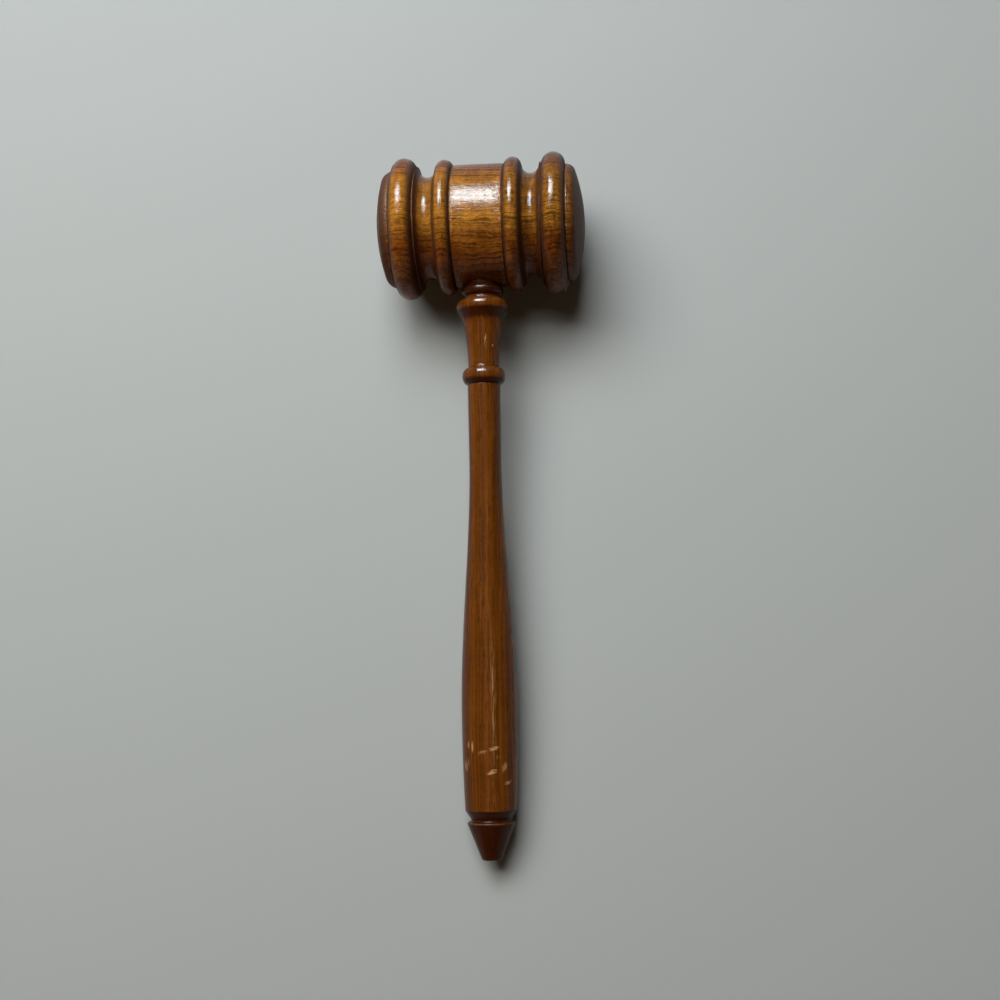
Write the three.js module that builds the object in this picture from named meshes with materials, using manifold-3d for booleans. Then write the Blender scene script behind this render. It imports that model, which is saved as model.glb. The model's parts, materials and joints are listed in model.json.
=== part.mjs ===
// A turned wooden gavel: a one-piece head and a one-piece handle, joined by a glued round tenon.
// Millimetres, +Z up. The gavel lies as it does on a table: the axis of the head runs along X, the
// handle points to -Y and slopes down, and the gavel rests on the two large beads of the head and
// on its grip. The origin is on the table, under the middle of the whole gavel.

import * as THREE from 'three';
import { mergeVertices } from 'three/addons/utils/BufferGeometryUtils.js';
import Module from 'manifold-3d';

// Head: its largest radius, at the two large beads, and how far the other forms lie below it
const headRadius = 27.0;
const smallBeadDrop = 1.2;
const barrelDrop = 3.4;
const coveDrop = 7.6;
const arrisDrop = 3.4;
const discDrop = 4.7;

// Head: lengths along its axis, from the middle of the barrel to the middle of one end face
const barrelHalfLength = 9.55;
const creaseLength = 0.4;
const smallBeadLength = 6.2;
const coveInnerLength = 3.7;
const coveOuterLength = 3.55;
const stepLength = 0.7;
const largeBeadLength = 8.8;
const discEdgeLength = 0.7;
const discEdgeRise = 1.0;
const rimLength = 3.2;
const rimDepth = 3.4;
const domeHeight = 3.3;

// Tenon of the handle, its shoulder, and the flat-bottomed seat that is bored for the shoulder
const tenonRadius = 5.5;
const tenonLength = 26.0;
const tenonChamfer = 1.0;
const shoulderWidth = 1.5;
const seatDepth = 1.5;
const boreEndRoom = 2.0;

// Clearances: round the tenon and its shoulder, under the shoulder, and between bead and barrel
const glueGap = 0.3;
const seatGap = 0.3;
const beadGap = 0.3;

// Handle: lengths along its axis, from the shoulder bead to the tip
const shoulderBeadLength = 3.5;
const grooveLength = 1.1;
const filletLength = 0.7;
const collarHalfLength = 2.6;
const bevelLength = 3.85;
const neckLength = 18.0;
const ringLength = 6.3;
const shaftStepLength = 0.6;
const waistLength = 28.9;
const swellLength = 94.0;
const gripLength = 35.6;
const edgeLength = 0.7;
const chamferLength = 2.9;
const tipGrooveLength = 0.5;
const tipEdgeLength = 0.6;
const tipBandLength = 0.7;
const coneLength = 12.1;
const tipRound = 0.8;

// Handle: radii, and how far the forms beside them rise or fall
const shoulderBeadRise = 1.1;
const grooveDepth = 0.3;
const filletRise = 1.1;
const collarRise = 2.3;
const neckRadius = 5.9;
const neckFlare = 1.9;
const ringRise = 2.3;
const shaftRise = 0.35;
const waistRadius = 6.1;
const bellyRise = 4.3;
const buttDrop = 0.8;
const edgeDrop = 0.3;
const tipRadius = 8.85;
const tipEdgeDrop = 0.85;
const tipGrooveDepth = 1.55;
const tipBandDrop = 0.1;
const tipEndRadius = 3.1;

// How far a cut runs past the surface that it leaves by
const cutOverrun = 4.0;

// Facets: segments round each turned piece, and steps along the rounded forms of its outline
const headSegments = 40;
const handleSegments = 28;
const shortSteps = 3;
const roundSteps = 6;
const beadSteps = 8;
const longSteps = 10;

// Angles in degrees, from the axis outwards, at which two rounded forms give way to straight ones
const collarEndAngle = 54;
const rimEndAngle = 25;

// How strongly the neck flares towards the collar
const flarePower = 2.2;

const wasm = await Module();
wasm.setup();

// Points of an elliptical arc of an outline, between two angles in degrees: place along the axis, radius
function arc(centre, length, depth, fromAngle, toAngle, steps) {
  const points = [];
  for (let step = 0; step <= steps; step += 1) {
    const angle = THREE.MathUtils.degToRad(THREE.MathUtils.lerp(fromAngle, toAngle, step / steps));
    points.push([centre[0] + length * Math.cos(angle), centre[1] + depth * Math.sin(angle)]);
  }
  return points;
}

// Points of a bead: half an ellipse that stands on a given radius and rises from it
function bead(start, length, foot, rise) {
  const half = length / 2;
  return arc([start + half, foot], half, rise, 180, 0, beadSteps);
}

// Points of a long curve whose radius follows a formula of the share of the way along
function sweep(from, to, radiusAt, steps) {
  const points = [];
  for (let step = 0; step <= steps; step += 1) {
    const share = step / steps;
    points.push([THREE.MathUtils.lerp(from, to, share), radiusAt(share)]);
  }
  return points;
}

// Points of the shallow dome of an end face, a part of a large circle, from its rim to the axis
function dome(rim, height, steps) {
  const curve = (rim[1] * rim[1] + height * height) / (2 * height);
  const reach = Math.asin(rim[1] / curve);
  const points = [];
  for (let step = 1; step <= steps; step += 1) {
    const angle = reach * (1 - step / steps);
    points.push([rim[0] + height - curve * (1 - Math.cos(angle)), curve * Math.sin(angle)]);
  }
  return points;
}

// Half of the outline of the head, from the end of its barrel to the middle of its end face
function headHalfOutline() {
  const barrelRadius = headRadius - barrelDrop;
  const floorRadius = headRadius - coveDrop;
  const arrisRadius = headRadius - arrisDrop;
  const discRadius = headRadius - discDrop;
  const smallRound = smallBeadLength / 2;
  const smallFoot = headRadius - smallBeadDrop - smallRound;
  const largeRound = largeBeadLength / 2;

  const smallBead = barrelHalfLength + creaseLength;
  const floor = smallBead + smallBeadLength + coveInnerLength;
  const largeBead = floor + coveOuterLength + stepLength;
  const disc = largeBead + largeBeadLength;
  const crown = disc + discEdgeLength;
  const rim = arc([crown, discRadius - rimDepth], rimLength, rimDepth, 90, rimEndAngle, roundSteps);

  return [
    [barrelHalfLength, barrelRadius],
    ...bead(smallBead, smallBeadLength, smallFoot, smallRound),
    ...arc([floor, smallFoot], coveInnerLength, smallFoot - floorRadius, -180, -90, roundSteps).slice(1),
    ...arc([floor, arrisRadius], coveOuterLength, arrisRadius - floorRadius, -90, 0, roundSteps).slice(1),
    ...bead(largeBead, largeBeadLength, headRadius - largeRound, largeRound),
    ...arc([crown, discRadius - discEdgeRise], discEdgeLength, discEdgeRise, 180, 90, shortSteps),
    ...rim.slice(1),
    ...dome(rim.at(-1), domeHeight, shortSteps),
  ];
}

// Whole outline of the head, from one end face to the other
function headOutline() {
  const half = headHalfOutline();
  const mirrored = half.map(([along, radius]) => [-along, radius]).reverse();
  return mirrored.concat(half);
}

// Places and radii of the joint, measured along the handle from the axis of the head
function joint() {
  const barrel = headRadius - barrelDrop;
  const seat = barrel - seatDepth;
  const shoulder = seat + seatGap;
  const tenonEnd = shoulder - tenonLength;
  return {
    seat,
    shoulder,
    tenonEnd,
    boreEnd: tenonEnd - boreEndRoom,
    beadStart: barrel + beadGap,
    shoulderRadius: tenonRadius + shoulderWidth,
  };
}

// Outline of the handle from the end of the tenon to the foot of the shoulder bead
function jointOutline() {
  const { shoulder, tenonEnd, beadStart, shoulderRadius } = joint();
  const groove = shoulderRadius - grooveDepth;
  return [
    [tenonEnd, 0],
    [tenonEnd, tenonRadius - tenonChamfer],
    [tenonEnd + tenonChamfer, tenonRadius],
    [shoulder, tenonRadius],
    [shoulder, shoulderRadius],
    [beadStart, shoulderRadius],
    ...bead(beadStart, shoulderBeadLength, groove, shoulderBeadRise + grooveDepth),
  ];
}

// Outline of the collar, the neck and the ring bead, going on from the foot of the shoulder bead
function neckOutline([start, groove]) {
  const fillet = start + grooveLength;
  const collar = fillet + filletLength + collarHalfLength;
  const foot = groove + filletRise;
  const round = arc([collar, foot], collarHalfLength, collarRise, 180, collarEndAngle, beadSteps);
  const neck = round.at(-1)[0] + bevelLength;
  const ring = neck + neckLength;
  const flare = (share) => neckRadius + neckFlare * (1 - share) ** flarePower;
  return [
    [fillet, groove],
    [fillet, foot],
    ...round,
    ...sweep(neck, ring, flare, roundSteps),
    ...bead(ring, ringLength, neckRadius, ringRise).slice(1),
  ];
}

// Outline of the shaft and the grip, going on from the foot of the ring bead
function gripOutline([start, foot]) {
  const shaft = start + shaftStepLength;
  const waist = shaft + waistLength;
  const belly = waist + swellLength;
  const butt = belly + gripLength;
  const bellyRadius = waistRadius + bellyRise;
  const swell = (share) => waistRadius + bellyRise * THREE.MathUtils.smoothstep(share, 0, 1);
  const taper = (share) => bellyRadius - buttDrop * share * share;
  return [
    [shaft, foot + shaftRise],
    ...sweep(waist, belly, swell, longSteps),
    ...sweep(belly, butt, taper, roundSteps).slice(1),
    [butt + edgeLength, bellyRadius - buttDrop - edgeDrop],
    [butt + edgeLength + chamferLength, tipRadius - tipGrooveDepth],
  ];
}

// Outline of the conical tip with its flat end, going on from the edge of the groove over it
function tipOutline([start, groove]) {
  const top = start + tipGrooveLength;
  const band = top + tipEdgeLength;
  const cone = band + tipBandLength;
  const round = cone + coneLength;
  return [
    [top, groove],
    [top, tipRadius - tipEdgeDrop],
    [band, tipRadius],
    [cone, tipRadius - tipBandDrop],
    ...arc([round, tipEndRadius], tipRound, tipRound, 90, 0, shortSteps),
    [round + tipRound, 0],
  ];
}

// Whole outline of the handle, each stretch going on from the last point of the one before
function handleOutline() {
  const points = jointOutline();
  for (const stretch of [neckOutline, gripOutline, tipOutline]) {
    points.push(...stretch(points.at(-1)));
  }
  return points;
}

// Outline of the tool that bores the head: the hole for the tenon and the flat seat at its mouth
function boreOutline() {
  const { seat, boreEnd, shoulderRadius } = joint();
  const mouth = headRadius + cutOverrun;
  return [
    [boreEnd, 0],
    [boreEnd, tenonRadius + glueGap],
    [seat, tenonRadius + glueGap],
    [seat, shoulderRadius + glueGap],
    [mouth, shoulderRadius + glueGap],
    [mouth, 0],
  ];
}

// Slope of the handle at which its lowest point meets the table while the head rests on its beads
function restingSlope(outline) {
  const slopes = outline
    .filter(([along]) => along > headRadius)
    .map(([along, radius]) => Math.asin(headRadius / Math.hypot(along, radius)) - Math.atan2(radius, along));
  return Math.min(...slopes);
}

// How far the sloping handle reaches from the axis of the head
function handleReach(outline, slope) {
  return Math.max(...outline.map(([along, radius]) => along * Math.cos(slope) + radius * Math.sin(slope)));
}

// A turned solid: the outline goes round the Y axis, along which its places are measured
function turned(outline, segments) {
  const points = outline.map(([along, radius]) => new THREE.Vector2(radius, along));
  return new THREE.LatheGeometry(points, segments);
}

// The solid body of a closed geometry
function toSolid(geometry) {
  const bare = geometry.clone();
  bare.deleteAttribute('normal');
  bare.deleteAttribute('uv');
  const merged = mergeVertices(bare);
  const triVerts = new Uint32Array(merged.index.array);
  const vertProperties = new Float32Array(merged.attributes.position.array);
  return new wasm.Manifold(new wasm.Mesh({ numProp: 3, vertProperties, triVerts }));
}

// The geometry of a solid body
function toGeometry(solid) {
  const { vertProperties, triVerts } = solid.getMesh();
  const geometry = new THREE.BufferGeometry();
  geometry.setAttribute('position', new THREE.BufferAttribute(vertProperties, 3));
  geometry.setIndex(new THREE.BufferAttribute(triVerts, 1));
  geometry.computeVertexNormals();
  return geometry;
}

// Golden brown lacquered wood of the head
function headWood() {
  return new THREE.MeshStandardMaterial({ color: 0x8a561e, roughness: 0.25, metalness: 0 });
}

// Darker lacquered wood of the handle
function handleWood() {
  return new THREE.MeshStandardMaterial({ color: 0x6e3d14, roughness: 0.3, metalness: 0 });
}

// Head: one turned piece of figured wood, bored across its barrel for the tenon
function makeHead(turn) {
  const blank = turned(headOutline(), headSegments).rotateZ(-Math.PI / 2);
  const cutter = turned(boreOutline(), handleSegments).rotateX(turn);
  const head = new THREE.Mesh(toGeometry(toSolid(blank).subtract(toSolid(cutter))), headWood());
  head.name = 'head';
  return head;
}

// Handle: one turned piece, from the hidden tenon to the tip
function makeHandle(turn) {
  const handle = new THREE.Mesh(turned(handleOutline(), handleSegments), handleWood());
  handle.name = 'handle';
  handle.rotation.x = turn;
  return handle;
}

// The gavel on its table, with the origin under the middle of its length
function makeGavel() {
  const outline = handleOutline();
  const slope = restingSlope(outline);
  const turn = Math.PI + slope;
  const gavel = new THREE.Group();
  gavel.add(makeHead(turn), makeHandle(turn));
  gavel.position.set(0, (handleReach(outline, slope) - headRadius) / 2, headRadius);
  return gavel;
}

export default makeGavel();
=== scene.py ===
"""A turned wooden gavel, lying on a pale floor under a soft window light.

The head and the handle are turned again here with fine outlines, softened edges and lacquered wood, in the
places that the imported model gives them. Sizes of the pieces are in millimetres, as they are in the part's
source, and each mesh, lamp and camera is placed in metres.
"""

import json
import logging
import math
from collections.abc import Callable
from dataclasses import dataclass, field
from enum import Enum

import bmesh
import bpy
import numpy as np
from mathutils import Matrix, Vector

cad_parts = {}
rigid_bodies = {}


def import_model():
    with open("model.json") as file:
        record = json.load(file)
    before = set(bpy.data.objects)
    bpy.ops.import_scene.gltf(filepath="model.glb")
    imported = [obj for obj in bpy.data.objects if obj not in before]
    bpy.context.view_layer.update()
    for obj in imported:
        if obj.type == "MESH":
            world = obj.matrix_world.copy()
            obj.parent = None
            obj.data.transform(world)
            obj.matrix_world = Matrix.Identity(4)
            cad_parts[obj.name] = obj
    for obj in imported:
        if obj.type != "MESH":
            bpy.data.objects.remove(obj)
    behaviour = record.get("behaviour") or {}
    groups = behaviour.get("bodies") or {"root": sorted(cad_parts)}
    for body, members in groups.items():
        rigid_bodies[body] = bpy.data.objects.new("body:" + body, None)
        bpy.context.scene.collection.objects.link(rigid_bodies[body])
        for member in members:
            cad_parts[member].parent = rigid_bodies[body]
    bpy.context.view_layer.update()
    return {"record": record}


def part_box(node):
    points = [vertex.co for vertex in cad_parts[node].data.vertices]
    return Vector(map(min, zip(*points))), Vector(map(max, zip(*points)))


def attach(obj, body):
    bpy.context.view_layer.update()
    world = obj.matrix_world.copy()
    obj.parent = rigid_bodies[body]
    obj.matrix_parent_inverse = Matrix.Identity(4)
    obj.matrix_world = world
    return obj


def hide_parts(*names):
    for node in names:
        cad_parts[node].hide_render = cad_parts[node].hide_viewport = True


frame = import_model()

log = logging.getLogger("gavel")

MM = 0.001
BODY = "root"
ACROSS_THE_GRAIN = (0, 1, 1)

Point = tuple[float, float]
Colour = tuple[float, float, float, float]
Socket = bpy.types.NodeSocket
Sockets = dict[str, Socket]
Value = Socket | float | int | tuple | Vector


def paint(red: int, green: int, blue: int) -> Colour:
    """Gives the linear colour of a screen colour.

    Args:
        red: Red from 0 to 255.
        green: Green from 0 to 255.
        blue: Blue from 0 to 255.

    Returns:
        The colour as a shader takes it, with full alpha.
    """
    full, toe, toe_slope, offset, power = 255, 0.04045, 12.92, 0.055, 2.4
    shares = [level / full for level in (red, green, blue)]
    linear = [s / toe_slope if s <= toe else ((s + offset) / (1 + offset)) ** power for s in shares]
    return (*linear, 1.0)


def smoothstep(values: np.ndarray, low: float, high: float) -> np.ndarray:
    """Gives a smooth rise from 0 at the low value to 1 at the high one.

    Args:
        values: Values to map.
        low: Value that gives 0.
        high: Value that gives 1.

    Returns:
        The mapped values.
    """
    share = np.clip((values - low) / (high - low), 0, 1)
    return share * share * (3 - 2 * share)


@dataclass(frozen=True)
class Place:
    """Where a turned piece lies, in metres: a point on its axis, and the directions of its axis and side."""

    centre: Vector
    axis: Vector
    side: Vector

    @property
    def top(self) -> Vector:
        """Direction square to the axis and the side."""
        return self.axis.cross(self.side)

    @property
    def turn(self) -> tuple[float, float, float]:
        """Euler angles that turn X, Y and Z to the axis, the side and the top."""
        return tuple(Matrix((self.axis, self.side, self.top)).transposed().to_euler())


@dataclass(frozen=True)
class Profile:
    """Softened outline of a turned piece, in millimetres, and the traits of each of its points: how worn its
    edges are, and where its creases and hollows take stain and painted shade.
    """

    along: np.ndarray
    radius: np.ndarray
    ridge: np.ndarray
    crease: np.ndarray
    hollow: np.ndarray
    dusty: np.ndarray


@dataclass
class Outline:
    """Sharp outline of a turned piece, as places along its axis and radii in millimetres."""

    points: list[Point] = field(default_factory=list)
    arc_steps: int = 40

    @property
    def end(self) -> Point:
        """Last point so far."""
        return self.points[-1]

    def to(self, along: float, radius: float) -> "Outline":
        """Adds a straight stretch to a point and returns the outline."""
        self.points.append((along, radius))
        return self

    def arc(self, centre: Point, length: float, depth: float, start: float, stop: float) -> "Outline":
        """Adds an elliptical arc.

        Args:
            centre: Centre of the ellipse.
            length: Half axis along the piece.
            depth: Half axis square to it.
            start: First angle in degrees.
            stop: Last angle in degrees.

        Returns:
            The outline.
        """
        for angle in np.radians(np.linspace(start, stop, self.arc_steps + 1)):
            self.to(centre[0] + length * math.cos(angle), centre[1] + depth * math.sin(angle))
        return self

    def bead(self, start: float, length: float, foot: float, rise: float) -> "Outline":
        """Adds half an ellipse that stands on a radius and rises from it.

        Args:
            start: Place where the bead starts.
            length: Length of the bead.
            foot: Radius that it stands on.
            rise: How far it rises.

        Returns:
            The outline.
        """
        return self.arc((start + length / 2, foot), length / 2, rise, 180, 0)

    def curve(self, start: float, stop: float, radius_at: Callable[[float], float]) -> "Outline":
        """Adds a long curve whose radius follows a formula.

        Args:
            start: Place where the curve starts.
            stop: Place where it stops.
            radius_at: Gives the radius for the share of the way along.

        Returns:
            The outline.
        """
        for share in np.linspace(0, 1, self.arc_steps + 1):
            self.to(start + (stop - start) * share, radius_at(float(share)))
        return self

    def dome(self, height: float) -> "Outline":
        """Adds the shallow dome of an end face, a part of a large circle, from the last point to the axis.

        Args:
            height: Height of the dome.

        Returns:
            The outline.
        """
        rim, radius = self.end
        curve = (radius * radius + height * height) / (2 * height)
        reach = math.asin(radius / curve)
        for angle in reach * np.linspace(1, 0, self.arc_steps + 1)[1:]:
            self.to(rim + height - curve * (1 - math.cos(angle)), curve * math.sin(angle))
        return self

    def mirrored(self) -> "Outline":
        """Gives the whole outline of which this is the half on the far side of the middle."""
        near = [(-along, radius) for along, radius in reversed(self.points)]
        return Outline(near + self.points)


@dataclass(frozen=True)
class Sanding:
    """Takes the sharpness off an outline, as sanding and lacquer do, and finds its edges and its creases.

    Lengths are in millimetres. The widest step and the step of turn set how close the points of a profile
    lie. Bends are in radians per millimetre: where a trait of the surface starts, and where it is full.
    """

    softness: float = 0.13
    filling: float = 0.38
    fine_step: float = 0.03
    widest_step: float = 0.62
    turn_step: float = math.radians(9)
    wear_reach: float = 0.3
    hollow_reach: float = 1.7
    dust_reach: float = 1.5
    dust_strength: float = 6.0
    bell_cut: float = 4.0
    least_gap: float = 1e-6
    filled_bends: Point = (0.2, 1.2)
    ridge_bends: Point = (0.55, 1.6)
    crease_bends: Point = (0.45, 1.5)
    hollow_bends: Point = (0.08, 0.42)

    def spread(self, values: np.ndarray, reach: float) -> np.ndarray:
        """Spreads values along the outline by a bell curve.

        Args:
            values: Values at the fine steps.
            reach: Width of the bell curve.

        Returns:
            The values after the spread.
        """
        half = math.ceil(self.bell_cut * reach / self.fine_step)
        bell = np.exp(-0.5 * (np.arange(-half, half + 1) * self.fine_step / reach) ** 2)
        padded = np.pad(values, half, mode="edge")
        return np.convolve(padded, bell / bell.sum(), mode="valid")

    def profile(self, outline: Outline) -> Profile:
        """Softens an outline, and fills its creases a little more than it wears its edges.

        Args:
            outline: Sharp outline, which starts and ends on the axis.

        Returns:
            The softened profile.
        """
        sharp = np.array(outline.points)
        sharp = sharp[np.append(True, np.hypot(*np.diff(sharp, axis=0).T) > self.least_gap)]
        below = (sharp * (1, -1))[::-1]
        doubled = np.concatenate((below[:-1], sharp, below[1:]))
        travel = np.append(0, np.cumsum(np.hypot(*np.diff(doubled, axis=0).T)))
        steps = np.arange(0, travel[-1], self.fine_step)
        along = self.spread(np.interp(steps, travel, doubled[:, 0]), self.softness)
        radius = self.spread(np.interp(steps, travel, doubled[:, 1]), self.softness)

        heading = np.unwrap(np.arctan2(np.gradient(radius), np.gradient(along)))
        bend = -np.gradient(heading) / self.fine_step
        worn = self.spread(bend, self.wear_reach)
        wide = self.spread(bend, self.hollow_reach)
        density = 1 / self.widest_step + np.abs(self.spread(bend, self.softness / 2)) / self.turn_step
        filled = smoothstep(-worn, *self.filled_bends)
        along = along + (self.spread(along, self.filling) - along) * filled
        radius = radius + (self.spread(radius, self.filling) - radius) * filled

        first, last = travel[len(sharp) - 1], travel[2 * len(sharp) - 2]
        inner = (steps >= first) & (steps <= last)
        count = np.cumsum(density[inner]) * self.fine_step
        picks = np.interp(np.linspace(count[0], count[-1], math.ceil(count[-1]) + 1), count, steps[inner])
        ridge = smoothstep(worn, *self.ridge_bends)
        crease = smoothstep(-worn, *self.crease_bends)
        hollow = smoothstep(-wide, *self.hollow_bends)
        dusty = np.clip(self.spread(crease, self.dust_reach) * self.dust_strength, 0, 1)
        values = (along, np.maximum(radius, 0), ridge, crease, hollow, dusty)
        parts = [np.interp(picks, steps, each) for each in values]
        parts[1][[0, -1]] = 0
        return Profile(*parts)


class Lathe:
    """Turns profiles into closed meshes with one Geometry Nodes tree.

    The tree takes the profile as the points of a mesh, X along the axis and Y the radius, and lays a grid
    round the axis: one row of the grid for each point of the profile. Points closer than the weld are joined.
    """

    SOCKETS = {
        "Profile": "NodeSocketGeometry",
        "Rows": "NodeSocketInt",
        "Segments": "NodeSocketInt",
        "Centre": "NodeSocketVector",
        "Axis": "NodeSocketVector",
        "Side": "NodeSocketVector",
        "Weld": "NodeSocketFloat",
        "Finish": "NodeSocketMaterial",
    }
    TRAITS = ("ridge", "crease", "hollow", "dusty")
    WELD = 1e-6

    def __init__(self) -> None:
        """Builds the tree."""
        self.tree = bpy.data.node_groups.new("Turn a profile", "GeometryNodeTree")
        for name, kind in self.SOCKETS.items():
            self.tree.interface.new_socket(name=name, in_out="INPUT", socket_type=kind)
        self.tree.interface.new_socket(name="Turned", in_out="OUTPUT", socket_type="NodeSocketGeometry")
        self.ids = {item.name: item.identifier for item in self.tree.interface.items_tree}
        self._wire(Graph(self.tree))

    def _wire(self, graph: "Graph") -> None:
        """Adds the nodes of the tree.

        Args:
            graph: The tree to add them to.
        """
        given = graph.node("NodeGroupInput").outputs
        columns = graph.math("ADD", given["Segments"], 1)
        counts = {"Vertices X": given["Rows"], "Vertices Y": columns}
        grid = graph.node("GeometryNodeMeshGrid", {"Size X": 1, "Size Y": 1, **counts})
        index = graph.node("GeometryNodeInputIndex").outputs["Index"]
        row = graph.math("FLOOR", graph.math("DIVIDE", index, columns))
        column = graph.math("MODULO", index, columns)
        angle = graph.math("MULTIPLY", graph.math("DIVIDE", column, given["Segments"]), math.tau)

        drawn = graph.node("GeometryNodeInputPosition").outputs["Position"]
        place = self._sample(graph, "FLOAT_VECTOR", drawn, row)
        parts = graph.node("ShaderNodeSeparateXYZ", {"Vector": place}).outputs
        top = graph.vector("CROSS_PRODUCT", given["Axis"], given["Side"])
        spoke = graph.vector(
            "ADD",
            graph.scaled(given["Side"], graph.math("COSINE", angle)),
            graph.scaled(top, graph.math("SINE", angle)),
        )
        offset = graph.vector("ADD", graph.scaled(given["Axis"], parts["X"]), graph.scaled(spoke, parts["Y"]))
        position = graph.vector("ADD", given["Centre"], offset)
        skin = graph.node("GeometryNodeSetPosition", {"Geometry": grid.outputs["Mesh"], "Position": position})
        for trait in self.TRAITS:
            named = graph.node("GeometryNodeInputNamedAttribute", {"Name": trait}, data_type="FLOAT")
            value = self._sample(graph, "FLOAT", named.outputs["Attribute"], row)
            inputs = {"Geometry": skin.outputs["Geometry"], "Name": trait, "Value": value}
            skin = graph.node("GeometryNodeStoreNamedAttribute", inputs, data_type="FLOAT", domain="POINT")
        for kind, inputs in (
            ("GeometryNodeMergeByDistance", {"Distance": given["Weld"]}),
            ("GeometryNodeSetShadeSmooth", {}),
            ("GeometryNodeRealizeInstances", {}),
            ("GeometryNodeSetMaterial", {"Material": given["Finish"]}),
        ):
            skin = graph.node(kind, {"Geometry": skin.outputs[0], **inputs})
        graph.node("NodeGroupOutput", {"Turned": skin.outputs[0]})

    def _sample(self, graph: "Graph", kind: str, value: Value, row: Value) -> Socket:
        """Reads a value at one point of the profile.

        Args:
            graph: The tree to add the node to.
            kind: Data type of the value.
            value: Value to read.
            row: Number of the point.

        Returns:
            The value at that point.
        """
        inputs = {"Geometry": graph.given("Profile"), "Value": value, "Index": row}
        return graph.node("GeometryNodeSampleIndex", inputs, data_type=kind, domain="POINT").outputs["Value"]

    def turn(
        self, name: str, profile: Profile, place: Place, segments: int, finish: bpy.types.Material
    ) -> bpy.types.Object:
        """Turns a profile into an object with a plain mesh.

        Args:
            name: Name of the object.
            profile: Profile to turn.
            place: Where the piece lies.
            segments: Facets round the axis.
            finish: Material of the piece.

        Returns:
            The turned piece, at the origin, with its place in its mesh.
        """
        source = bpy.data.meshes.new(name + "_profile")
        points = np.stack((profile.along, profile.radius, np.zeros_like(profile.along)), axis=1) * MM
        source.from_pydata(points.tolist(), [], [])
        for trait in self.TRAITS:
            source.attributes.new(trait, "FLOAT", "POINT").data.foreach_set("value", getattr(profile, trait))
        drawn = shown(name + "_profile", source)
        modifier = drawn.modifiers.new("Turn", "NODES")
        modifier.node_group = self.tree
        values = {
            "Rows": len(points), "Segments": segments, "Centre": place.centre, "Axis": place.axis,
            "Side": place.side, "Weld": self.WELD, "Finish": finish,
        }
        for socket, value in values.items():
            modifier[self.ids[socket]] = value
        return finished(name, drawn)


def shown(name: str, data: bpy.types.ID) -> bpy.types.Object:
    """Makes an object and puts it in the scene.

    Args:
        name: Name of the object.
        data: Its mesh, lamp or camera.

    Returns:
        The object.
    """
    made = bpy.data.objects.new(name, data)
    bpy.context.scene.collection.objects.link(made)
    return made


def finished(name: str, drawn: bpy.types.Object) -> bpy.types.Object:
    """Turns what an object's modifiers make into a plain mesh, and removes the object that made it.

    Args:
        name: Name of the new object.
        drawn: Object with its modifiers.

    Returns:
        A new object with the plain mesh, its faces pointing outwards.
    """
    graph = bpy.context.evaluated_depsgraph_get()
    turned = drawn.evaluated_get(graph)
    mesh = bpy.data.meshes.new_from_object(turned, preserve_all_data_layers=True, depsgraph=graph)
    shape = bmesh.new()
    shape.from_mesh(mesh)
    bmesh.ops.recalc_face_normals(shape, faces=shape.faces)
    shape.to_mesh(mesh)
    shape.free()
    bpy.data.objects.remove(drawn)
    mesh.name = name
    return shown(name, mesh)


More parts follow.
